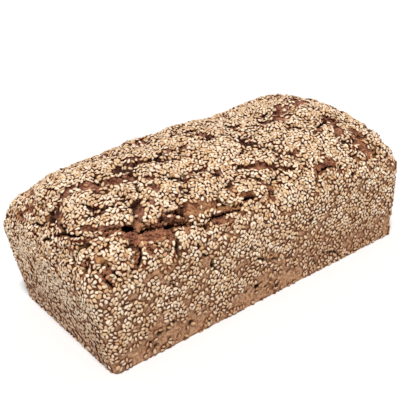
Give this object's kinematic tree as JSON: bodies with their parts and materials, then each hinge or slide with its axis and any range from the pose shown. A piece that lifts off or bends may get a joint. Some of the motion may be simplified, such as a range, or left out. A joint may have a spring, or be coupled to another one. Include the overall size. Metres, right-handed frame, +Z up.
{
  "type": "carrot bread loaf",
  "caption": "Whole tin-baked carrot bread, with straight leaning walls, a risen and cracked crown, and a crust covered in sesame seeds.",
  "frame": {"origin": "middle of the flat base, under the middle of the loaf", "axes": "+X along the loaf's length, towards the far end in the picture; -Y towards the long side that faces the camera; +Z up"},
  "size_m": [0.2396, 0.1356, 0.1003],
  "materials": {
    "crust": "matte baked crust, dark purplish brown on the crown and tan on the walls",
    "sesame": "satin toasted seed, cream to golden tan"
  },
  "bodies": {
    "root": {"loaf": "crust"}
  },
  "joints": []
}
